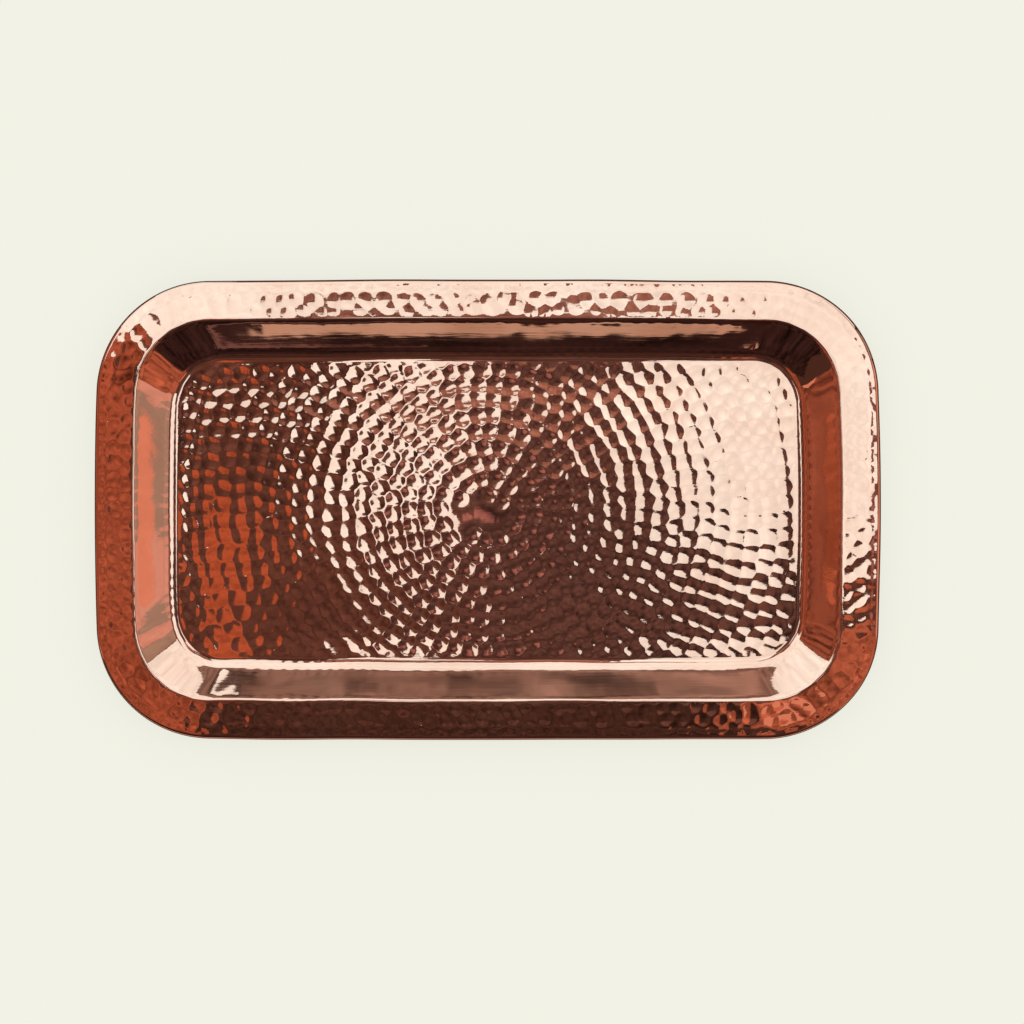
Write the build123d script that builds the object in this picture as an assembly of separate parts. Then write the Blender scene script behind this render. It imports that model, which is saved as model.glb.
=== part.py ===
from build123d import *
import math
import os

# A hand-made copper serving tray with rounded corners: one sheet, raised into a flat base, a sloping
# wall and a broad rim, whose outer edge is rolled down and round a wire that stiffens it.
# Millimetres, X along the tray, +Z up. The origin is under the middle of the base, on the surface
# that the tray stands on.

# Plan, over the rolled edge
LENGTH = 432.0
WIDTH = 253.0
CORNER_RADIUS = 62.5
LONG_SIDE_RADIUS = 17000.0  # the long sides bow outwards by less than a millimetre
END_RADIUS = 1900.0  # the short ends bow outwards a little more

# Section, from the rolled edge inwards
HEIGHT = 18.0  # standing surface to the crease between the rim and the wall
SHEET = 1.0
RIM_WIDTH = 22.0  # outside of the rolled edge to the crease
RIM_FALL = 5.0  # degrees that the rim slopes down towards its outer edge
WALL_RUN = 18.5  # plan distance from the crease to the foot of the wall
CREASE_RADIUS = 3.0  # on the upper face
FOOT_RADIUS = 8.0  # on the upper face
FOOT_MARGIN = 4.0  # how far the wall's section reaches into the flat base

# Wired edge
WIRE_DIAMETER = 3.0
WIRE_CLEARANCE = 0.05
CURL = 295.0  # degrees that the sheet wraps round the wire
WIRE_GAP = 0.8  # between the wire's two ends, at the middle of one long side

ROLL_RADIUS = WIRE_DIAMETER / 2 + WIRE_CLEARANCE + SHEET
BASE_INSET = RIM_WIDTH + WALL_RUN + FOOT_MARGIN


def roll_centre():
    """Centre of the wired edge in the section: X is measured outwards from the outer edge."""
    fall = math.radians(RIM_FALL)
    rim_drop = (RIM_WIDTH - ROLL_RADIUS) * math.tan(fall)
    return Vector(-ROLL_RADIUS, HEIGHT - rim_drop - ROLL_RADIUS / math.cos(fall))


def sheet_corner(corner, before, after, depth):
    """Where a corner of the upper face comes to at a depth in the sheet, between runs at two slopes."""
    middle = (before + after) / 2
    reach = depth / math.cos((after - before) / 2)
    return Vector(corner) + reach * Vector(math.sin(middle), -math.cos(middle))


def sheet_line(depth):
    """The sheet's line at a depth below its upper face, from the flat base to the end of the curl."""
    wall = math.atan2(HEIGHT - SHEET, WALL_RUN)
    rim = -math.radians(RIM_FALL)
    centre = roll_centre()
    roll_top = centre + ROLL_RADIUS * Vector(-math.sin(rim), math.cos(rim))
    corners = [
        sheet_corner((-BASE_INSET, SHEET), 0, 0, depth),
        sheet_corner((-RIM_WIDTH - WALL_RUN, SHEET), 0, wall, depth),
        sheet_corner((-RIM_WIDTH, HEIGHT), wall, rim, depth),
        sheet_corner(roll_top, rim, rim, depth),
    ]
    flat_runs = FilletPolyline(*corners, radius=[FOOT_RADIUS + depth, CREASE_RADIUS - depth])
    curl = CenterArc(centre, ROLL_RADIUS - depth, 90 - RIM_FALL, -CURL)
    return Wire(flat_runs.edges() + curl.edges())


def sheet_section():
    """The sheet's section, between its two faces."""
    upper = sheet_line(0)
    lower = sheet_line(SHEET)
    ends = [Line(upper @ end, lower @ end) for end in (0, 1)]
    return make_face(upper.edges() + lower.edges() + ends)


def wire_section():
    """The round section of the edge wire."""
    return Pos(roll_centre()) * Circle(WIRE_DIAMETER / 2)


def corner_centre():
    """Centre of the corner arc that runs tangent into a long side and a short end."""
    side_reach = LONG_SIDE_RADIUS - CORNER_RADIUS
    end_reach = END_RADIUS - CORNER_RADIUS
    side_centre = Vector(0, WIDTH / 2 - LONG_SIDE_RADIUS)
    end_centre = Vector(LENGTH / 2 - END_RADIUS, 0)
    between = end_centre - side_centre
    along = (side_reach**2 - end_reach**2 + between.length**2) / (2 * between.length)
    across = math.sqrt(side_reach**2 - along**2)
    direction = between.normalized()
    return side_centre + direction * along + Vector(direction.Y, -direction.X) * across


def outline_arcs():
    """The outline's eight tangent arcs: centre, radius, first angle and turn, anticlockwise."""
    corner = corner_centre()
    side_half = math.degrees(math.atan2(corner.X, corner.Y - WIDTH / 2 + LONG_SIDE_RADIUS))
    end_half = math.degrees(math.atan2(corner.Y, corner.X - LENGTH / 2 + END_RADIUS))
    corner_turn = 90 - side_half - end_half
    arcs = []
    for side in (0, 1):
        half_turn = 180 * side
        sign = 1 - 2 * side
        end_x = sign * (LENGTH / 2 - END_RADIUS)
        side_y = sign * (WIDTH / 2 - LONG_SIDE_RADIUS)
        first_corner = Vector(sign * corner.X, sign * corner.Y)
        second_corner = Vector(-sign * corner.X, sign * corner.Y)
        arcs.append((Vector(end_x, 0), END_RADIUS, half_turn - end_half, 2 * end_half))
        arcs.append((first_corner, CORNER_RADIUS, half_turn + end_half, corner_turn))
        arcs.append((Vector(0, side_y), LONG_SIDE_RADIUS, half_turn + 90 - side_half, 2 * side_half))
        arcs.append((second_corner, CORNER_RADIUS, half_turn + 90 + side_half, corner_turn))
    return arcs


def turned(section, centre, radius, first, turn):
    """The section turned about a vertical axis, along one arc of the outline."""
    standing = Plane.XZ * Pos(radius, 0) * section
    return Pos(centre) * Rot(0, 0, first) * revolve(standing, Axis.Z, turn)


def round_outline(section):
    """The section carried all the way round the outline, as one solid."""
    lengths = [turned(section, *arc) for arc in outline_arcs()]
    return lengths[0].fuse(*lengths[1:]).clean()


def base_plate():
    """The flat middle of the base, inside the wall's section."""
    edges = [
        CenterArc(centre, radius - BASE_INSET, first, turn)
        for centre, radius, first, turn in outline_arcs()
    ]
    return extrude(make_face(edges), SHEET)


def tray_sheet():
    """The whole raised sheet: base, wall, rim and curl."""
    return round_outline(sheet_section()).fuse(base_plate()).clean()


def edge_wire():
    """The wire in the rolled edge: one loop, open by a small gap where its ends meet."""
    gap = Pos(0, WIDTH / 2, 0) * Box(WIRE_GAP, 4 * WIRE_DIAMETER, 4 * HEIGHT)
    return round_outline(wire_section()) - gap


def export(shape, node):
    export_step(shape, "parts/" + node + ".step")


os.makedirs("parts", exist_ok=True)
export(tray_sheet(), "tray_sheet")
export(edge_wire(), "edge_wire")
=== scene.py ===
import math
import random

import bpy
import numpy as np
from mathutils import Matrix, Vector
from mathutils.geometry import delaunay_2d_cdt


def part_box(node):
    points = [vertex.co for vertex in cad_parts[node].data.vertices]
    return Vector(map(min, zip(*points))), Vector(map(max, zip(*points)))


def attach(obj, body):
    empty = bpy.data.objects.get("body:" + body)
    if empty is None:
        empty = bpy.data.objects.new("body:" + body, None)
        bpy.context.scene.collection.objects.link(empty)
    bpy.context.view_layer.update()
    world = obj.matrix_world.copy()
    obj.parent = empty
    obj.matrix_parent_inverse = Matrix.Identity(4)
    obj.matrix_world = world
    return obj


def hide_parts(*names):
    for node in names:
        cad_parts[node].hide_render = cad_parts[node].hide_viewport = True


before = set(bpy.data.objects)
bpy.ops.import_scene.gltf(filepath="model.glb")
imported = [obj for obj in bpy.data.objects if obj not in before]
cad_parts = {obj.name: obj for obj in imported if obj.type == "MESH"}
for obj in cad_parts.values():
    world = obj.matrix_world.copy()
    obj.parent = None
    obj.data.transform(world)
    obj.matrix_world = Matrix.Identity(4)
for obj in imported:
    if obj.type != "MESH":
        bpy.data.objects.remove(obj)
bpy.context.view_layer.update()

# Sizes in metres, as in the CAD. The frame's own box gives the length and the width.
SHEET_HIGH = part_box("tray_sheet")[1]
HALF_LENGTH = SHEET_HIGH.x
HALF_WIDTH = SHEET_HIGH.y
CORNER_RADIUS = 0.0625
LONG_SIDE_RADIUS = 17.0
END_RADIUS = 1.9
HEIGHT = 0.018
SHEET = 0.001
RIM_WIDTH = 0.022
RIM_FALL = math.radians(5)
WALL_RUN = 0.0185
CREASE_RADIUS = 0.0022  # sharper than the 3 mm of the CAD, as it shows in the photograph
FOOT_RADIUS = 0.008
BASE_INSET = 0.0445
FOOT_CORNER_EASE = 0.006  # how much rounder the base's corners are than an even wall would leave them
ROLL_RADIUS = 0.00255
CURL = math.radians(295)

# Mesh density
END_COLUMNS = 80  # from the middle of an end to the middle of a corner
SIDE_COLUMNS = 136  # from the middle of a corner to the middle of a long side
RIDGE_STEP = 0.0012
RIDGE_SIDE = 0.0007  # distance from a ridge to the row of points beside it
INNER_ROW = 0.6  # how far out from a mark's middle its inner row of points is, as a share of the way
MERGE = 2e-6
CIRCLE_POINTS = 20  # of the outline of a mark that no other mark cuts
NEIGHBOUR_REACH = 2.2  # how far off, in a mark's own reach, another mark may cut it
CHUNK = 20000  # points whose depth is worked out at once

# Hammer marks
HAMMER_RADIUS = 0.042  # radius of the hammer's domed face
BASE_PITCH = 0.0087
BASE_RINGS = 23  # rings of marks round the middle, enough to reach the corners
BASE_DEPTH = 0.00032
BASE_DEPTH_SCATTER = 0.00003
BASE_SCATTER = 0.07  # how far marks stray from their rings, as a share of the pitch
RIM_PITCH = 0.0092
RIM_ROWS = (0.0056, 0.0113, 0.0172)  # insets of the rim's rows of marks
RIM_DEPTH = 0.0002
RIM_MIDDLE_DEPTH = 0.00007  # how much deeper the marks of the middle row are
RIM_DEPTH_SCATTER = 0.00004
RIM_SCATTER_ALONG = 0.14  # as a share of the pitch
RIM_SCATTER_ACROSS = 0.0008
SMOOTH_CENTRE = (-0.0025, -0.0038)  # of the patch in the middle that has no marks
SMOOTH_REACH = (0.0145, 0.0102)
MARKS_PAST_BASE = 0.003  # how far beyond the base's edge a mark's middle may be
WAVER = 0.045  # how strongly the layout is pushed about
WAVER_WAVES = 14
WAVER_LENGTHS = (0.009, 0.03)  # shortest and longest of the waves that push it
WAVER_ROUNDS = 6  # enough to find where a point of the layout is pushed to
BASE_EMBOSS = 0.6  # share of a mark's depth that shows on the underside
ROUNDING = 0.00006  # how much the ridges between marks were polished round


# ---------------------------------------------------------------- outline


def corner_layout(ease):
    """The centre of the corner's arc, and how far the end's arc and the side's arc turn.
    The ease is what is added to the corner's radius."""
    side_reach = LONG_SIDE_RADIUS - CORNER_RADIUS - ease
    end_reach = END_RADIUS - CORNER_RADIUS - ease
    side_y = HALF_WIDTH - LONG_SIDE_RADIUS
    end_x = HALF_LENGTH - END_RADIUS
    between = math.hypot(end_x, side_y)
    along = (side_reach**2 - end_reach**2 + between**2) / (2 * between)
    across = math.sqrt(side_reach**2 - along**2)
    ux, uy = end_x / between, -side_y / between
    centre = Vector((ux * along + uy * across, side_y + uy * along - ux * across))
    return centre, math.atan2(centre.y, centre.x - end_x), math.atan2(centre.x, centre.y - side_y)


def quadrant_point(share, inset, ease):
    """A point of the first quadrant's outline: share is 0 on +X, 1 at the corner's middle, 2 on +Y."""
    share, inset = np.broadcast_arrays(share, inset)
    centre, end_turn, side_turn = corner_layout(ease)
    corner_radius = CORNER_RADIUS + ease - inset
    end_length = (END_RADIUS - inset) * end_turn
    side_length = (LONG_SIDE_RADIUS - inset) * side_turn
    half_corner = corner_radius * (math.pi / 2 - end_turn - side_turn) / 2
    low = share < 1
    straight = np.where(low, end_length, side_length)
    along = np.where(low, share, 2 - share) * (straight + half_corner)
    round_part = np.maximum(along - straight, 0) / corner_radius
    radius = np.where(low, END_RADIUS, LONG_SIDE_RADIUS) - inset
    bend = np.minimum(along, straight) / radius + round_part
    angle = np.where(low, bend, math.pi / 2 - bend)
    turned = along > straight
    radius = np.where(turned, corner_radius, radius)
    x0 = np.where(turned, centre.x, np.where(low, HALF_LENGTH - END_RADIUS, 0))
    y0 = np.where(turned, centre.y, np.where(low, 0, HALF_WIDTH - LONG_SIDE_RADIUS))
    return x0 + radius * np.cos(angle), y0 + radius * np.sin(angle)


def column_shares():
    """Share and mirror signs of every column, anticlockwise from the middle of the +X end."""
    quarter = np.concatenate(
        [np.arange(END_COLUMNS) / END_COLUMNS, 1 + np.arange(SIDE_COLUMNS) / SIDE_COLUMNS]
    )
    back = 2 - quarter
    ones = np.ones(len(quarter))
    share = np.concatenate([quarter, back, quarter, back])
    sign_x = np.concatenate([ones, -ones, -ones, ones])
    sign_y = np.concatenate([ones, ones, -ones, -ones])
    return share, sign_x, sign_y


SHARE, SIGN_X, SIGN_Y = column_shares()
COLUMNS = len(SHARE)


def ring(inset, ease=0.0):
    """The outline at an inset, one point per column."""
    x, y = quadrant_point(SHARE, inset, ease)
    return x * SIGN_X, y * SIGN_Y


def inset_of(x, y, ease=0.0):
    """How far points lie inside the outer outline, or inside one with rounder corners."""
    x, y = np.abs(x), np.abs(y)
    centre, end_turn, side_turn = corner_layout(ease)
    end_x = HALF_LENGTH - END_RADIUS
    side_y = HALF_WIDTH - LONG_SIDE_RADIUS
    on_end = np.arctan2(y, x - end_x) < end_turn
    on_side = np.arctan2(x, y - side_y) < side_turn
    end = END_RADIUS - np.hypot(x - end_x, y)
    side = LONG_SIDE_RADIUS - np.hypot(x, y - side_y)
    corner = CORNER_RADIUS + ease - np.hypot(x - centre.x, y - centre.y)
    straight = np.where(on_end, np.where(on_side, np.minimum(end, side), end), side)
    return np.where(on_end | on_side, straight, corner)


def arc_length():
    """Distance along the outer outline at each column, and the whole way round."""
    x, y = ring(0)
    steps = np.hypot(np.diff(x, append=x[0]), np.diff(y, append=y[0]))
    return np.concatenate([[0], np.cumsum(steps)[:-1]]), steps.sum()


ALONG, PERIMETER = arc_length()


def wander(seed, size, shortest):
    """Slow uneven movement round the outline, for each column: a few waves down to a shortest length."""
    rng = random.Random(seed)
    total = np.zeros(COLUMNS)
    most = int(PERIMETER / shortest)
    for _ in range(9):
        waves = rng.randint(2, most)
        phase = rng.uniform(0, 2 * math.pi)
        total += np.sin(2 * math.pi * waves * ALONG / PERIMETER + phase) / math.sqrt(waves)
    return size * total / np.abs(total).max()


# ---------------------------------------------------------------- section


WALL_SLOPE = math.atan2(HEIGHT - SHEET, WALL_RUN)


def arc_centres():
    """Centres of the foot's, the crease's and the roll's arcs: outward position and height."""
    foot = (-RIM_WIDTH - WALL_RUN - FOOT_RADIUS * math.tan(WALL_SLOPE / 2), SHEET + FOOT_RADIUS)
    middle = (WALL_SLOPE - RIM_FALL) / 2
    reach = CREASE_RADIUS / math.cos((WALL_SLOPE + RIM_FALL) / 2)
    crease = (-RIM_WIDTH + reach * math.sin(middle), HEIGHT - reach * math.cos(middle))
    drop = (RIM_WIDTH - ROLL_RADIUS) * math.tan(RIM_FALL)
    roll = (-ROLL_RADIUS, HEIGHT - drop - ROLL_RADIUS / math.cos(RIM_FALL))
    return foot, crease, roll


FOOT_CENTRE, CREASE_CENTRE, ROLL_CENTRE = arc_centres()


def arc_stations(centre, radius, first, last, steps):
    """Stations of the upper face along an arc, given by the face's slope at its two ends."""
    slopes = np.linspace(first, last, steps + 1)
    x = centre[0] - radius * np.sin(slopes)
    z = centre[1] + radius * np.cos(slopes)
    return np.stack([x, z, slopes], 1)


def line_stations(start, end, steps):
    """Stations strictly between two others, along the straight run that joins them."""
    shares = np.linspace(0, 1, steps + 1)[1:-1, None]
    return start + (end - start) * shares


def wall_stations(arc_steps, wall_steps):
    """The upper face from the flat base, up the wall and over the crease."""
    start = np.array([[-BASE_INSET, SHEET, 0.0]])
    foot = arc_stations(FOOT_CENTRE, -FOOT_RADIUS, 0, WALL_SLOPE, arc_steps)
    crease = arc_stations(CREASE_CENTRE, CREASE_RADIUS, WALL_SLOPE, -RIM_FALL, arc_steps)
    return np.concatenate([start, foot, line_stations(foot[-1], crease[0], wall_steps), crease])


def roll_stations(steps):
    """The upper face round the rolled edge, to the end of the curl."""
    return arc_stations(ROLL_CENTRE, ROLL_RADIUS, -RIM_FALL, -RIM_FALL - CURL, steps)


# ---------------------------------------------------------------- hand-made unevenness


def scallops(pitch, size):
    """A row of shallow bites along a line, where marks next to it pushed the metal."""
    number = round(PERIMETER / pitch)
    return size * np.abs(np.sin(math.pi * number * ALONG / PERIMETER + 2 * wander(16, 1, 0.06)))


# How far the tray's lines and its wall stray, for each column
WALL_WANDER = wander(11, 0.0004, 0.06)
FOOT_WANDER = wander(12, 0.00012, 0.04) - scallops(0.0087, 0.00012)
CREASE_WANDER = wander(13, 0.00012, 0.03) + scallops(0.0090, 0.00010)
EDGE_WANDER = wander(17, 0.0003, 0.06)
WALL_WAVES = wander(14, 0.00005, 0.025)
FOOT_RIPPLES = wander(18, 0.00003, 0.010)
CREASE_RIPPLES = wander(19, 0.00003, 0.010)
BEAD_WANDER = wander(15, 0.10, 0.03)  # as a share of the bead's size

EDGE_SLOPE = 0.060  # the base turns up a little before it reaches the wall
EDGE_SLOPE_START = BASE_INSET + 0.011
EDGE_SLOPE_END = BASE_INSET - 0.003
EDGE_SLOPE_EASE = 0.002  # how gently it does so
DROOP = 0.00022  # how far the rim bends down before its edge starts to roll
DROOP_START = 0.0075
WALL_HOLLOW = 0.0002  # how hollow the wall is between the crease and the foot
CORNER_BULGE = 0.00025  # how much it bulges at the corners instead
BULGE_START = (0.55, 0.80)  # shares of a quarter's way round between which the bulge sets in
BULGE_END = (1.05, 1.27)  # and between which it dies out
FOOT_REACH = 0.006  # how far the foot's, the crease's and the edge's wandering carry across the sheet
CREASE_REACH = 0.003
EDGE_REACH = 0.012
BEAD_REACH = 1.01 * ROLL_RADIUS
WALL_FADE = 0.004  # how far into the base the wall's wandering carries
RIM_FADE = 0.006  # inset at which it has died out on the rim


def smooth_step(value, low, high):
    """0 up to the low value, 1 from the high one on, and smooth between them."""
    t = np.clip((value - low) / (high - low), 0, 1)
    return t * t * (3 - 2 * t)


def near(x, place, reach):
    """1 at a place, falling smoothly to 0 at a distance."""
    t = np.clip(1 - np.abs(x - place) / reach, 0, 1)
    return t * t * (3 - 2 * t)


def wall_share(x):
    """1 on the wall, falling to 0 on the rim and on the base."""
    from_base = smooth_step(x, -BASE_INSET - WALL_FADE, -RIM_WIDTH - WALL_RUN)
    return from_base * smooth_step(-x, RIM_FADE, RIM_WIDTH)


def wall_bow():
    """How hollow the wall is between the crease and the foot, for each column. Its corners bulge."""
    corner = smooth_step(SHARE, *BULGE_START) * (1 - smooth_step(SHARE, *BULGE_END))
    return WALL_HOLLOW - (WALL_HOLLOW + CORNER_BULGE) * corner


WALL_BOW = wall_bow()


def base_lift(inset):
    """How far the sheet is lifted: most of all at the foot of the wall, and not at the crease."""
    rise = np.logaddexp(0, (EDGE_SLOPE_START - inset) / EDGE_SLOPE_EASE)
    rise = rise - np.logaddexp(0, (EDGE_SLOPE_END - inset) / EDGE_SLOPE_EASE)
    fall = np.clip((inset - RIM_WIDTH) / (EDGE_SLOPE_END - RIM_WIDTH), 0, 1)
    return EDGE_SLOPE * EDGE_SLOPE_EASE * rise * fall


def lifted(station, depth=0.0):
    """One row of the tray: a station of the section at a depth in the sheet, carried round the tray."""
    x, z, slope = station
    bead = 1 + BEAD_WANDER * near(x, -ROLL_RADIUS, BEAD_REACH)
    x = ROLL_CENTRE[0] + (x - ROLL_CENTRE[0]) * bead if x > -BEAD_REACH else x
    across = x + depth * math.sin(slope)
    up = z - depth * math.cos(slope) + base_lift(-x)
    up = up - DROOP * smooth_step(x, -DROOP_START, -ROLL_RADIUS)
    across = across + WALL_WANDER * wall_share(x)
    across = across + FOOT_WANDER * near(x, -RIM_WIDTH - WALL_RUN, FOOT_REACH)
    across = across + CREASE_WANDER * near(x, -RIM_WIDTH, CREASE_REACH)
    across = across + EDGE_WANDER * near(x, 0, EDGE_REACH)
    up_wall = np.clip((x + RIM_WIDTH + WALL_RUN) / WALL_RUN, 0, 1)
    waves = WALL_WAVES * near(up_wall, 0.5, 0.5) - WALL_BOW * 4 * up_wall * (1 - up_wall)
    waves = waves + FOOT_RIPPLES * near(up_wall, 0.3, 0.3) + CREASE_RIPPLES * near(up_wall, 0.7, 0.3)
    ease = FOOT_CORNER_EASE * smooth_step(-station[0], RIM_WIDTH, RIM_WIDTH + WALL_RUN)
    px, py = ring(-(across - waves * math.sin(slope)), ease)
    return np.stack([px, py, np.broadcast_to(up + waves * math.cos(slope), px.shape)], 1)


# ---------------------------------------------------------------- hammer marks


def waver(x, y):
    """How far the marks' layout is pushed about at points, so that ridges curve and marks differ in size."""
    rng = random.Random(7)
    dx, dy = np.zeros(len(x)), np.zeros(len(x))
    for _ in range(WAVER_WAVES):
        wave = 2 * math.pi / rng.uniform(*WAVER_LENGTHS)
        heading, phase = rng.uniform(0, math.pi), rng.uniform(0, 2 * math.pi)
        swing = np.sin(wave * (x * math.cos(heading) + y * math.sin(heading)) + phase) / wave
        push = rng.uniform(0, 2 * math.pi)
        dx += WAVER * swing * math.cos(push)
        dy += WAVER * swing * math.sin(push)
    return dx, dy


def to_layout(x, y):
    """Points of the tray, moved into the marks' regular layout."""
    dx, dy = waver(x, y)
    return x + dx, y + dy


def from_layout(points):
    """Points of the marks' regular layout, moved to where they are on the tray."""
    goal = np.array(points)
    place = goal.copy()
    for _ in range(WAVER_ROUNDS):
        place = goal - np.column_stack(waver(place[:, 0], place[:, 1]))
    return place


def base_marks():
    """Marks in rings round the middle of the base, with a small patch left smooth: x, y, depth."""
    rng = random.Random(3)
    marks = []
    for count in range(1, BASE_RINGS + 1):
        radius = count * BASE_PITCH
        number = round(2 * math.pi * radius / BASE_PITCH)
        start = rng.uniform(0, 2 * math.pi)
        for i in range(number):
            stray = rng.gauss(0, BASE_SCATTER) * BASE_PITCH / radius
            angle = start + 2 * math.pi * i / number + stray
            reach = radius + rng.gauss(0, BASE_SCATTER) * BASE_PITCH
            depth = BASE_DEPTH + rng.gauss(0, BASE_DEPTH_SCATTER)
            marks.append((reach * math.cos(angle), reach * math.sin(angle), depth))
    places = np.array([mark[:2] for mark in marks])
    struck = np.linalg.norm((places - SMOOTH_CENTRE) / SMOOTH_REACH, axis=1) > 1
    on_base = inset_of(places[:, 0], places[:, 1], FOOT_CORNER_EASE) > BASE_INSET - MARKS_PAST_BASE
    return [mark for mark, kept in zip(marks, struck & on_base) if kept]


def rim_marks():
    """Three staggered rows of marks along the rim: x, y, depth."""
    rng = random.Random(5)
    marks = []
    for row, inset in enumerate(RIM_ROWS):
        number = round((PERIMETER - 2 * math.pi * inset) / RIM_PITCH)
        for i in range(number):
            place = (i + row / 2 + rng.gauss(0, RIM_SCATTER_ALONG)) / number * PERIMETER
            column = int(np.interp(place % PERIMETER, ALONG, np.arange(COLUMNS)))
            x, y = ring(inset + rng.gauss(0, RIM_SCATTER_ACROSS))
            depth = RIM_DEPTH + RIM_MIDDLE_DEPTH * (row == 1) + rng.gauss(0, RIM_DEPTH_SCATTER)
            marks.append((x[column], y[column], depth))
    return marks


def clip(polygon, nx, ny, limit):
    """The part of a convex polygon where nx * x + ny * y is at most a limit."""
    kept = []
    for (x0, y0), (x1, y1) in zip(polygon, polygon[1:] + polygon[:1]):
        a = nx * x0 + ny * y0 - limit
        b = nx * x1 + ny * y1 - limit
        if a <= 0:
            kept.append((x0, y0))
        if (a < 0 < b) or (b < 0 < a):
            t = a / (a - b)
            kept.append((x0 + (x1 - x0) * t, y0 + (y1 - y0) * t))
    return kept


def mark_cells(marks):
    """Each mark's own outline: where it is the deepest, within the circle that the hammer's face reaches."""
    spots = np.array(marks)
    turns = [2 * math.pi * k / CIRCLE_POINTS for k in range(CIRCLE_POINTS)]
    cells = []
    for x, y, depth in marks:
        reach = math.sqrt(2 * HAMMER_RADIUS * depth)
        polygon = [(x + reach * math.cos(t), y + reach * math.sin(t)) for t in turns]
        gaps = np.hypot(spots[:, 0] - x, spots[:, 1] - y)
        for j in np.nonzero((gaps > 0) & (gaps < NEIGHBOUR_REACH * reach))[0]:
            xj, yj, depth_j = marks[j]
            limit = (xj**2 + yj**2 - x**2 - y**2) / 2 + HAMMER_RADIUS * (depth - depth_j)
            polygon = clip(polygon, xj - x, yj - y, limit)
            if not polygon:
                break
        cells.append(polygon)
    return cells


def hammered(x, y, marks):
    """Depth of the hammered face at points: the deepest mark there, with the ridges rounded over."""
    x, y = to_layout(x, y)
    spots = np.array(marks)
    result = np.zeros(len(x))
    for start in range(0, len(x), CHUNK):
        part = slice(start, start + CHUNK)
        gap = (x[part, None] - spots[:, 0]) ** 2 + (y[part, None] - spots[:, 1]) ** 2
        depths = gap / (2 * HAMMER_RADIUS) - spots[:, 2]
        lowest = np.minimum(depths.min(1), 0)
        total = np.exp((lowest[:, None] - depths) / ROUNDING).sum(1) + np.exp(lowest / ROUNDING)
        result[part] = lowest - ROUNDING * np.log(total)
    return result


def cell_points(marks):
    """Mesh points that follow the marks: along the ridges, beside them, and inside each mark.
    Gives the points, and the pairs of them that lie along a ridge."""
    points, pairs = [], []
    for (x, y, _), polygon in zip(marks, mark_cells(marks)):
        for (x0, y0), (x1, y1) in zip(polygon, polygon[1:] + polygon[:1]):
            length = math.hypot(x1 - x0, y1 - y0)
            if length < 5 * MERGE:
                continue
            steps = max(1, round(length / RIDGE_STEP))
            first = len(points)
            for k in range(steps + 1):
                points.append((x0 + (x1 - x0) * k / steps, y0 + (y1 - y0) * k / steps))
            pairs.extend((first + k, first + k + 1) for k in range(steps))
            for k in range(steps):
                bx = x0 + (x1 - x0) * (k + 0.5) / steps
                by = y0 + (y1 - y0) * (k + 0.5) / steps
                share = RIDGE_SIDE / max(math.hypot(bx - x, by - y), 2 * RIDGE_SIDE)
                points.append((bx + (x - bx) * share, by + (y - by) * share))
                if k % 2 == 0:
                    points.append((x + (bx - x) * INNER_ROW, y + (by - y) * INNER_ROW))
        points.append((x, y))
    return points, pairs


# ---------------------------------------------------------------- mesh


class Skin:
    """Vertices and faces of the tray, gathered row by row."""

    def __init__(self):
        self.rows, self.faces, self.count = [], [], 0

    def add(self, points):
        """Adds vertices and gives their numbers."""
        self.rows.append(np.asarray(points, float))
        first = self.count
        self.count += len(points)
        return np.arange(first, self.count)

    def band(self, inner, outer):
        """Quads between two rings of the same number of vertices, facing left of the way round."""
        after_inner, after_outer = np.roll(inner, -1), np.roll(outer, -1)
        self.faces.extend(np.stack([inner, outer, after_outer, after_inner], 1).tolist())

    def strip(self, stations, depth=0.0, start=None):
        """Rings for stations, joined by bands. Gives the last ring's numbers."""
        inner = start
        for station in stations:
            outer = self.add(lifted(station, depth))
            if inner is not None:
                self.band(inner, outer)
            inner = outer
        return inner

    def fill(self, rings, points, pairs, height, keep, flip=False):
        """Triangles between rings, through points laid out in plan and lifted to a height."""
        borders = [np.concatenate(self.rows)[r][:, :2] for r in rings]
        edges = []
        first = 0
        for r in rings:
            numbers = np.arange(first, first + len(r))
            edges.extend(np.stack([numbers, np.roll(numbers, -1)], 1).tolist())
            first += len(r)
        plan = np.concatenate(borders + [np.asarray(points)])
        edges.extend((first + a, first + b) for a, b in pairs)
        made = delaunay_2d_cdt([Vector(p) for p in plan.tolist()], edges, [], 0, MERGE, True)
        corners, _, faces, origins = made[:4]
        flat = np.array([(v.x, v.y) for v in corners])
        known = np.concatenate(rings)
        numbers = np.full(len(flat), -1)
        for place, sources in enumerate(origins):
            on_ring = [s for s in sources if s < first]
            if on_ring:
                numbers[place] = known[on_ring[0]]
        new = numbers < 0
        lifted_up = np.column_stack([flat[new], height(flat[new, 0], flat[new, 1])])
        numbers[new] = self.add(lifted_up)
        triangles = np.array(faces)
        middle = flat[triangles].mean(1)
        triangles = numbers[triangles[keep(middle[:, 0], middle[:, 1])]]
        self.faces.extend((triangles[:, ::-1] if flip else triangles).tolist())


def inside(points, pairs, low, high, ease=0.0):
    """The points whose inset is between two limits, and the pairs that are left whole.
    Points that come with pairs are in the marks' layout, and are moved to where they are on the tray."""
    plan = from_layout(points) if pairs else np.array(points)
    inset = inset_of(plan[:, 0], plan[:, 1], ease)
    keep = (inset > low) & (inset < high)
    numbers = np.cumsum(keep) - 1
    left = [(numbers[a], numbers[b]) for a, b in pairs if keep[a] and keep[b]]
    return plan[keep], left


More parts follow.
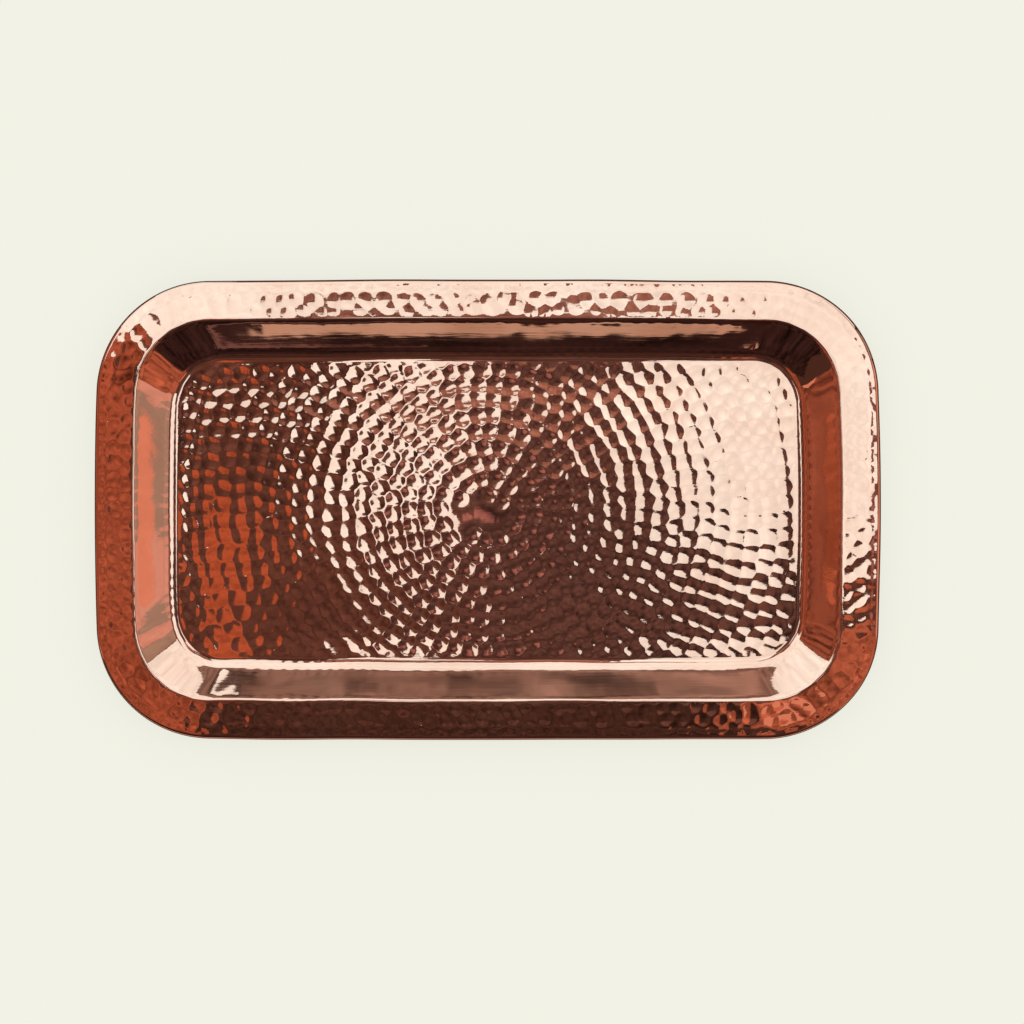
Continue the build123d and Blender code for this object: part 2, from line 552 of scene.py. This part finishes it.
BASE_MARKS = base_marks()
RIM_MARKS = rim_marks()
BASE_LIFT = 0.00018  # puts the hammered base's mean height at the smooth one's
RIM_LIFT = 0.00010
RIM_SOFTNESS = 0.65
GROOVE = 0.00010  # depth of the faint groove where the edge starts to roll
GROOVE_REACH = 0.0010
GROOVE_INSET = ROLL_RADIUS + 0.0011
BASE_FADE = (BASE_INSET - 0.0003, BASE_INSET + 0.002)  # insets between which the marks set in
UNDER_FADE = (BASE_INSET, BASE_INSET + 0.004)
ROLL_FADE = (ROLL_RADIUS, ROLL_RADIUS + 0.0012)
CREASE_FADE = (0.0007, 0.0022)  # distances from the crease between which the rim's marks set in
CREASE_SLACK = 0.0002  # how far outside the crease a rim triangle's middle lies, at least
FACE_MARGIN = 0.0006  # left free of mesh points beside a ring that bounds a hammered face
CREASE_MARGIN = 0.0012
UNDER_MARGIN = 0.0015
UNDER_STEP = 0.0024
TRIANGLE_HEIGHT = 0.866  # of a triangle with equal sides, as a share of a side

# The marks' share of their full depth, at places along the tray
SOFTNESS = (
    (-0.175, 0.90),
    (-0.163, 0.80),
    (-0.150, 0.42),
    (-0.135, 0.42),
    (-0.120, 0.60),
    (-0.085, 0.66),
    (-0.060, 0.90),
    (-0.030, 0.90),
    (0.005, 0.80),
    (0.080, 0.80),
    (0.140, 0.64),
)
BACK_SHARE = 0.85  # least share towards the back
BACK_LOSS = 0.12  # lost again next to the back wall
QUIET_LOSS = 0.35  # lost in the front left quarter
BACK_BAND = (0.025, 0.050)  # distances from the middle over which each of these sets in
BACK_WALL_BAND = (0.045, 0.075)
FRONT_BAND = (0.02, 0.06)
LEFT_BAND = (0.04, 0.10)


def softness(x, y):
    """Share of the marks' full depth: the ones towards both ends were struck more lightly."""
    places, shares = zip(*SOFTNESS)
    share = np.interp(x, places, shares)
    share = share + (np.maximum(share, BACK_SHARE) - share) * smooth_step(y, *BACK_BAND)
    back = smooth_step(y, *BACK_WALL_BAND)
    quiet = smooth_step(-y, *FRONT_BAND) * smooth_step(-x, *LEFT_BAND)
    return share * (1 - BACK_LOSS * back) * (1 - QUIET_LOSS * quiet)


def base_top(x, y):
    """Height of the hammered base."""
    inset = inset_of(x, y, FOOT_CORNER_EASE)
    fade = smooth_step(inset, *BASE_FADE) * softness(x, y)
    return SHEET + fade * (hammered(x, y, BASE_MARKS) + BASE_LIFT) + base_lift(inset)


def base_under(x, y):
    """Height of the base's underside, where the marks show as low bumps."""
    inset = inset_of(x, y, FOOT_CORNER_EASE)
    fade = smooth_step(inset, *UNDER_FADE) * softness(x, y)
    height = hammered(x, y, BASE_MARKS) + max(m[2] for m in BASE_MARKS)
    return fade * BASE_EMBOSS * height + base_lift(inset)


def rim_top(x, y):
    """Height of the hammered rim."""
    inset = inset_of(x, y)
    fade = smooth_step(inset, *ROLL_FADE) * smooth_step(RIM_WIDTH - inset, *CREASE_FADE)
    plain = HEIGHT - (RIM_WIDTH - inset) * math.tan(RIM_FALL)
    plain -= GROOVE * near(inset, GROOVE_INSET, GROOVE_REACH)
    plain -= DROOP * smooth_step(-inset, -DROOP_START, -ROLL_RADIUS)
    return plain + fade * RIM_SOFTNESS * (hammered(x, y, RIM_MARKS) + RIM_LIFT)


def lattice(step):
    """A plain triangular lattice of points over the base, for its underside."""
    points = []
    rows = int(HALF_WIDTH / (step * TRIANGLE_HEIGHT))
    columns = int(HALF_LENGTH / step)
    for j in range(-rows, rows + 1):
        shift = step / 2 * (j % 2)
        for i in range(-columns, columns + 1):
            points.append((i * step + shift, j * step * TRIANGLE_HEIGHT))
    return points


def everywhere(x, y):
    """Keeps all the triangles, with the slivers beyond a ring where it curves inwards."""
    return np.ones(len(x), bool)


def on_rim(x, y):
    """Keeps the triangles outside the crease's even line, and not those over the base."""
    return inset_of(x, y) < RIM_WIDTH - CREASE_SLACK


def build_tray():
    """The whole sheet as one mesh: hammered base, wall, hammered rim, roll and underside.
    Beside the rings that bound its filled faces, some slivers overlap the bands, so it isn't watertight."""
    skin = Skin()
    wall = wall_stations(arc_steps=4, wall_steps=8)
    base_ring = skin.add(lifted(wall[0]))
    crease_ring = skin.strip(wall[1:], start=base_ring)
    roll = roll_stations(steps=20)
    roll_ring = skin.add(lifted(roll[0]))
    tip = skin.strip(roll[1:], start=roll_ring)
    points, pairs = inside(*cell_points(BASE_MARKS), BASE_INSET + FACE_MARGIN, 1, FOOT_CORNER_EASE)
    skin.fill([base_ring], points, pairs, base_top, everywhere)
    points, pairs = inside(*cell_points(RIM_MARKS), ROLL_RADIUS + FACE_MARGIN, RIM_WIDTH - CREASE_MARGIN)
    skin.fill([roll_ring, crease_ring], points, pairs, rim_top, on_rim)
    under = skin.strip(roll_stations(steps=10)[::-1], SHEET, tip)
    rim_under = line_stations(roll[0], wall[-1], steps=5)
    under = skin.strip(rim_under, SHEET, under)
    under = skin.strip(wall_stations(arc_steps=3, wall_steps=5)[::-1], SHEET, under)
    points, pairs = inside(lattice(UNDER_STEP), [], BASE_INSET + UNDER_MARGIN, 1, FOOT_CORNER_EASE)
    skin.fill([under], points, pairs, base_under, everywhere, flip=True)
    return skin


def make_object(name, skin):
    mesh = bpy.data.meshes.new(name)
    mesh.from_pydata(np.concatenate(skin.rows).tolist(), [], skin.faces)
    mesh.validate()
    mesh.polygons.foreach_set("use_smooth", np.ones(len(mesh.polygons), bool))
    mesh.update()
    piece = bpy.data.objects.new(name, mesh)
    bpy.context.scene.collection.objects.link(piece)
    return piece


# ---------------------------------------------------------------- materials


def new_material(name):
    material = bpy.data.materials.new(name)
    material.use_nodes = True
    return material, material.node_tree, material.node_tree.nodes["Principled BSDF"]


def stretched(tree, scale):
    """The object's own coordinates, stretched along its axes."""
    place = tree.nodes.new("ShaderNodeTexCoord")
    mapping = tree.nodes.new("ShaderNodeMapping")
    mapping.inputs["Scale"].default_value = scale
    tree.links.new(place.outputs["Object"], mapping.inputs["Vector"])
    return mapping.outputs["Vector"]


def noise(tree, vector, scale, detail=2.0):
    node = tree.nodes.new("ShaderNodeTexNoise")
    node.inputs["Scale"].default_value = scale
    node.inputs["Detail"].default_value = detail
    tree.links.new(vector, node.inputs["Vector"])
    return node.outputs["Fac"]


def ramp(tree, value, *stops):
    node = tree.nodes.new("ShaderNodeValToRGB")
    while len(node.color_ramp.elements) < len(stops):
        node.color_ramp.elements.new(0.5)
    for element, (place, colour) in zip(node.color_ramp.elements, stops):
        element.position = place
        element.color = (*colour, 1)
    tree.links.new(value, node.inputs["Fac"])
    return node.outputs["Color"]


def remap(tree, value, low, high):
    node = tree.nodes.new("ShaderNodeMapRange")
    node.inputs["To Min"].default_value = low
    node.inputs["To Max"].default_value = high
    tree.links.new(value, node.inputs["Value"])
    return node.outputs["Result"]


def copper_material():
    """Polished copper, with faint tarnish clouds and fine streaks from the polishing wheel."""
    material, tree, shader = new_material("polished_copper")
    clouds = noise(tree, stretched(tree, (1, 1, 1)), 28, 3)
    colour = ramp(tree, clouds, (0.35, (0.90, 0.47, 0.335)), (0.65, (0.95, 0.53, 0.39)))
    tree.links.new(colour, shader.inputs["Base Color"])
    shader.inputs["Metallic"].default_value = 1.0
    streaks = noise(tree, stretched(tree, (30, 450, 450)), 1, 3)
    tree.links.new(remap(tree, streaks, 0.01, 0.07), shader.inputs["Roughness"])
    bump = tree.nodes.new("ShaderNodeBump")
    bump.inputs["Strength"].default_value = 0.6
    bump.inputs["Distance"].default_value = 0.00002
    tree.links.new(streaks, bump.inputs["Height"])
    tree.links.new(bump.outputs["Normal"], shader.inputs["Normal"])
    return material


def wire_material():
    """Drawn steel wire."""
    material, tree, shader = new_material("drawn_wire")
    grain = noise(tree, stretched(tree, (1, 1, 1)), 900, 2)
    colour = ramp(tree, grain, (0.3, (0.38, 0.37, 0.36)), (0.7, (0.50, 0.49, 0.47)))
    tree.links.new(colour, shader.inputs["Base Color"])
    shader.inputs["Metallic"].default_value = 1.0
    tree.links.new(remap(tree, grain, 0.3, 0.45), shader.inputs["Roughness"])
    return material


# ---------------------------------------------------------------- studio


# Colours of what the metal reflects, as light
PALE = (0.89, 0.89, 0.79)
ROOM = (0.075, 0.042, 0.035)
SOFTBOX = (1.06, 1.45, 1.60)
CEILING = (0.115, 0.062, 0.050)
SHADE = (0.105, 0.066, 0.060)
BLACK = (0.030, 0.017, 0.017)
WOOD = (0.34, 0.115, 0.066)
BRIGHT_WOOD = (0.40, 0.135, 0.072)
DARK_WOOD = (0.25, 0.095, 0.060)
AMBER = (0.44, 0.130, 0.062)
EMBER = (0.39, 0.145, 0.088)
MIST = (0.30, 0.180, 0.150)
DUSK = (0.24, 0.125, 0.120)
PLUM = (0.30, 0.160, 0.155)
FRONT = (0.058, 0.034, 0.028)
FRINGE = (0.16, 0.100, 0.095)
TAN = (0.54, 0.45, 0.37)
GREY = (0.25, 0.20, 0.18)
SALMON = (0.74, 0.37, 0.27)
DUST = (0.68, 0.44, 0.38)
ASH = (0.40, 0.36, 0.31)
CLOTH = (0.60, 0.48, 0.45)
BRIGHT_MOTTLE = (0.35, 9)  # how uneven the bright cards' light is, and how fine
DARK_MOTTLE = (1.8, 10)
DARK_LIMIT = 0.7  # sum of a dark card's red, green and blue, at most

CARD_HEIGHT = 0.8
SIDE_REACH = 1.0
CARD_STEP = 0.001  # how much nearer the tray each next card is, overhead and at the sides
SIDE_STEP = 0.002
FLOOR_REACH = 6.0

# The camera looks straight down from above the middle, framed a little off it
LENS = 85
SENSOR = 36
CAMERA_ABOVE = 1.324  # over the crease
SHIFT_X = 0.0237
SHIFT_Y = -0.0022


def card(name, corners, light):
    """A flat studio card that gives off its own uneven light and shows only in the metal."""
    mesh = bpy.data.meshes.new(name)
    mesh.from_pydata(corners, [], [tuple(range(len(corners)))])
    piece = bpy.data.objects.new(name, mesh)
    bpy.context.scene.collection.objects.link(piece)
    material, tree, shader = new_material(name)
    shader.inputs["Base Color"].default_value = (0, 0, 0, 1)
    shader.inputs["Specular IOR Level"].default_value = 0
    shader.inputs["Emission Color"].default_value = (*light, 1)
    mottle, scale = DARK_MOTTLE if sum(light) < DARK_LIMIT else BRIGHT_MOTTLE
    clouds = noise(tree, stretched(tree, (1, 1, 1)), scale, 3)
    tree.links.new(remap(tree, clouds, 1 - mottle, 1 + mottle), shader.inputs["Emission Strength"])
    mesh.materials.append(material)
    piece.visible_camera = False
    piece.visible_diffuse = False
    piece.visible_shadow = False


def make_floor():
    """A plain pale floor, bright enough by itself that the tray's shadow on it stays faint."""
    mesh = bpy.data.meshes.new("floor")
    reach = FLOOR_REACH
    corners = [(-reach, -reach, 0), (reach, -reach, 0), (reach, reach, 0), (-reach, reach, 0)]
    mesh.from_pydata(corners, [], [(0, 1, 2, 3)])
    floor = bpy.data.objects.new("floor", mesh)
    bpy.context.scene.collection.objects.link(floor)
    material, tree, shader = new_material("pale_floor")
    shader.inputs["Base Color"].default_value = (0.18, 0.18, 0.18, 1)
    shader.inputs["Roughness"].default_value = 0.9
    shader.inputs["Specular IOR Level"].default_value = 0
    shader.inputs["Emission Color"].default_value = (*PALE, 1)
    shader.inputs["Emission Strength"].default_value = 0.82
    mesh.materials.append(material)
    floor.visible_glossy = False


def make_world():
    """A pale surround, which the metal reflects as a dark warm room."""
    world = bpy.data.worlds.new("studio")
    bpy.context.scene.world = world
    world.use_nodes = True
    tree = world.node_tree
    background = tree.nodes["Background"]
    path = tree.nodes.new("ShaderNodeLightPath")
    mix = tree.nodes.new("ShaderNodeMix")
    mix.data_type = "RGBA"
    mix.inputs["A"].default_value = (*PALE, 1)
    mix.inputs["B"].default_value = (*ROOM, 1)
    tree.links.new(path.outputs["Is Glossy Ray"], mix.inputs["Factor"])
    tree.links.new(mix.outputs["Result"], background.inputs["Color"])


# Cards overhead, seen from the tray: name, light and outline in plan. Later ones hang in front.
OVERHEAD = (
    ("ceiling", CEILING, ((-1, -1), (1, -1), (1, 1), (-1, 1))),
    ("front_shade", FRONT, ((-1, -1), (1, -1), (1, -0.30), (-1, -0.30))),
    (
        "left_wood",
        WOOD,
        (
            (-1, -0.8),
            (-0.30, -0.60),
            (-0.265, -0.33),
            (-0.30, -0.27),
            (-0.35, -0.20),
            (-0.42, -0.14),
            (-0.42, 0.30),
            (-1, 0.30),
        ),
    ),
    (
        "left_amber",
        AMBER,
        ((-0.285, -0.10), (-0.23, -0.12), (-0.212, -0.05), (-0.217, 0.02), (-0.285, 0.038)),
    ),
    (
        "softbox",
        SOFTBOX,
        (
            (0.10, 0.32),
            (0.115, 0.12),
            (0.142, 0.05),
            (0.150, 0.0),
            (0.135, -0.033),
            (0.27, -0.08),
            (0.43, -0.085),
            (0.47, -0.06),
            (0.60, -0.02),
            (0.62, 1.0),
            (-1, 1.0),
            (-1, 0.32),
            (-0.40, 0.26),
            (-0.36, 0.14),
            (-0.30, 0.12),
            (-0.21, 0.125),
            (-0.17, 0.17),
            (-0.165, 0.325),
            (-0.055, 0.32),
            (-0.04, 0.285),
            (0.015, 0.285),
            (0.03, 0.325),
        ),
    ),
    ("right_dusk", DUSK, ((0.60, -0.12), (0.80, -0.12), (0.80, 0.6), (0.61, 0.6))),
    ("back_notch", MIST, ((0.03, 0.27), (0.13, 0.245), (0.18, 0.27), (0.195, 0.325), (0.03, 0.325))),
    (
        "mist",
        MIST,
        (
            (-0.15, 0.11),
            (-0.02, 0.10),
            (0.0, 0.075),
            (0.10, 0.075),
            (0.115, 0.31),
            (0.03, 0.31),
            (0.015, 0.28),
            (-0.04, 0.28),
            (-0.055, 0.31),
            (-0.15, 0.31),
        ),
    ),
    (
        "window",
        SOFTBOX,
        (
            (-0.05, -0.085),
            (-0.05, -0.03),
            (-0.065, 0.01),
            (-0.05, 0.04),
            (-0.01, 0.065),
            (0.005, 0.10),
            (-0.01, 0.115),
            (-0.06, 0.105),
            (-0.11, 0.075),
            (-0.145, 0.07),
            (-0.13, 0.03),
            (-0.12, -0.01),
        ),
    ),
    ("window_strip", SOFTBOX, ((-0.10, 0.145), (-0.02, 0.14), (-0.03, 0.155), (-0.09, 0.16))),
    (
        "camera_shade",
        SHADE,
        (
            (-0.04, -0.29),
            (0.18, -0.29),
            (0.24, -0.25),
            (0.27, -0.12),
            (0.14, -0.016),
            (0.125, 0.05),
            (0.06, 0.095),
            (0.01, 0.085),
            (-0.028, 0.04),
            (-0.043, 0.01),
            (-0.028, -0.02),
            (-0.048, -0.085),
        ),
    ),
    ("camera_body", PLUM, ((-0.032, -0.028), (0.022, -0.024), (0.022, 0.008), (-0.026, 0.012))),
    (
        "right_ember",
        EMBER,
        (
            (0.22, -0.27),
            (0.33, -0.20),
            (0.42, -0.11),
            (1, -0.11),
            (1, -0.8),
            (0.46, -0.8),
            (0.46, -0.44),
            (0.22, -0.42),
        ),
    ),
    ("ember_patch", SALMON, ((0.26, -0.36), (0.35, -0.35), (0.37, -0.30), (0.27, -0.30))),
)

FRINGE_OUTLINE = (
    (-0.27, 0.265),
    (-0.25, 0.290),
    (-0.235, 0.270),
    (-0.215, 0.300),
    (-0.20, 0.272),
    (-0.17, 0.305),
    (-0.155, 0.275),
    (-0.13, 0.300),
    (-0.11, 0.280),
    (-0.07, 0.285),
    (-0.07, 0.262),
    (-0.27, 0.255),
)

BACK_LEFT_OUTLINE = (
    (0.235, 0.0),
    (0.235, 0.205),
    (0.250, 0.225),
    (0.262, 0.235),
    (0.270, 0.265),
    (0.300, 0.275),
    (0.310, 0.310),
    (0.900, 0.330),
    (0.900, 0.0),
)
FLAME_OUTLINE = (
    (-0.10, 0.10),
    (-0.02, 0.10),
    (0.03, 0.26),
    (0.0, 0.32),
    (0.05, 0.50),
    (-0.03, 0.42),
    (-0.07, 0.32),
    (-0.04, 0.22),
)

# Cards at the sides: name, light, direction that they stand in (degrees from +X) and outline,
# as distance leftwards when looking out at them, and height
SIDES = (
    ("back_softbox", SOFTBOX, 90, ((-1, 0.36), (1, 0.37), (1, 0.8), (-1, 0.8))),
    ("back_grey", GREY, 90, ((-1, 0), (1, 0), (1, 0.37), (-1, 0.36))),
    ("back_left_softbox", SOFTBOX, 90, BACK_LEFT_OUTLINE),
    ("corner_softbox", SOFTBOX, 45, ((-0.20, 0.28), (0.3, 0.24), (0.3, 0.9), (-0.23, 0.9))),
    ("corner_grey", GREY, 45, ((-0.20, 0), (0.3, 0), (0.3, 0.24), (-0.20, 0.28))),
    ("corner_swirl", BLACK, 32, ((-0.06, 0), (0.03, 0), (0.0, 0.2), (0.05, 0.3), (-0.05, 0.24))),
    ("left_corner_softbox", SOFTBOX, 140, ((-0.2, 0.25), (0.12, 0.30), (0.12, 0.9), (-0.2, 0.9))),
    ("left_corner_grey", DUSK, 140, ((-0.2, 0), (0.12, 0), (0.12, 0.30), (-0.2, 0.25))),
    ("front_dark", BLACK, 270, ((-3, 0), (1, 0), (1, 0.8), (-3, 0.8))),
    ("front_tan", TAN, 270, ((-0.22, 0.19), (0.235, 0.19), (0.24, 0.228), (-0.225, 0.228))),
    ("front_fringe", FRINGE, 270, FRINGE_OUTLINE),
    ("front_flare", WOOD, 270, ((0.255, 0.18), (0.285, 0.18), (0.28, 0.235), (0.27, 0.215), (0.262, 0.24))),
    ("left_low_wood", BRIGHT_WOOD, 180, ((-0.8, 0), (0.35, 0), (0.30, 0.32), (-0.8, 0.32))),
    ("left_high_wood", DARK_WOOD, 180, ((-0.8, 0.32), (0.30, 0.32), (0.40, 0.8), (-0.8, 0.8))),
    ("flame", SALMON, 198, FLAME_OUTLINE),
    ("right_salmon", SALMON, 0, ((-0.16, 0.08), (0.26, 0.08), (0.34, 0.33), (-0.2, 0.33))),
    ("right_dust", DUST, 0, ((-0.2, 0.33), (0.34, 0.33), (0.28, 0.8), (-0.15, 0.8))),
    ("right_ash", ASH, 0, ((-0.01, 0.335), (0.11, 0.325), (0.12, 0.8), (0.0, 0.8))),
    ("right_low_ember", EMBER, 0, ((-0.9, 0), (-0.16, 0), (-0.2, 0.33), (-0.15, 0.8), (-0.9, 0.8))),
    ("right_grey", ASH, 0, ((0.34, 0), (0.6, 0), (0.6, 0.8), (0.28, 0.8), (0.34, 0.33))),
)
CLOTH_OUTLINE = ((-0.6, -0.9), (0.6, -0.9), (0.6, -0.15), (-0.6, -0.15))
CLOTH_HEIGHT = 0.003


def make_cards():
    """The cards overhead and at the sides. Each next one stands a little nearer the tray."""
    for place, (name, light, outline) in enumerate(OVERHEAD):
        height = CARD_HEIGHT - CARD_STEP * place
        card(name, [(x, y, height) for x, y in outline], light)
    for place, (name, light, direction, outline) in enumerate(SIDES):
        turn = math.radians(direction)
        reach = SIDE_REACH - SIDE_STEP * place
        across, out = math.sin(turn), math.cos(turn)
        corners = [(reach * out - a * across, reach * across + a * out, z) for a, z in outline]
        card(name, corners, light)
    card("front_cloth", [(x, y, CLOTH_HEIGHT) for x, y in CLOTH_OUTLINE], CLOTH)


def make_camera():
    data = bpy.data.cameras.new("camera")
    camera = bpy.data.objects.new("camera", data)
    bpy.context.scene.collection.objects.link(camera)
    data.lens = LENS
    data.sensor_width = SENSOR
    data.shift_x = SHIFT_X
    data.shift_y = SHIFT_Y
    camera.location = (0, 0, HEIGHT + CAMERA_ABOVE)
    data.clip_start = 0.05
    data.clip_end = 50
    bpy.context.scene.camera = camera


def main():
    tray = make_object("hammered_tray", build_tray())
    tray.data.materials.append(copper_material())
    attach(tray, "root")
    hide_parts("tray_sheet")
    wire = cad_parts["edge_wire"]
    wire.data.materials.clear()
    wire.data.materials.append(wire_material())
    make_floor()
    make_world()
    make_cards()
    make_camera()
    scene = bpy.context.scene
    scene.view_settings.view_transform = "Standard"
    print("tray faces", len(tray.data.polygons), "vertices", len(tray.data.vertices))


main()
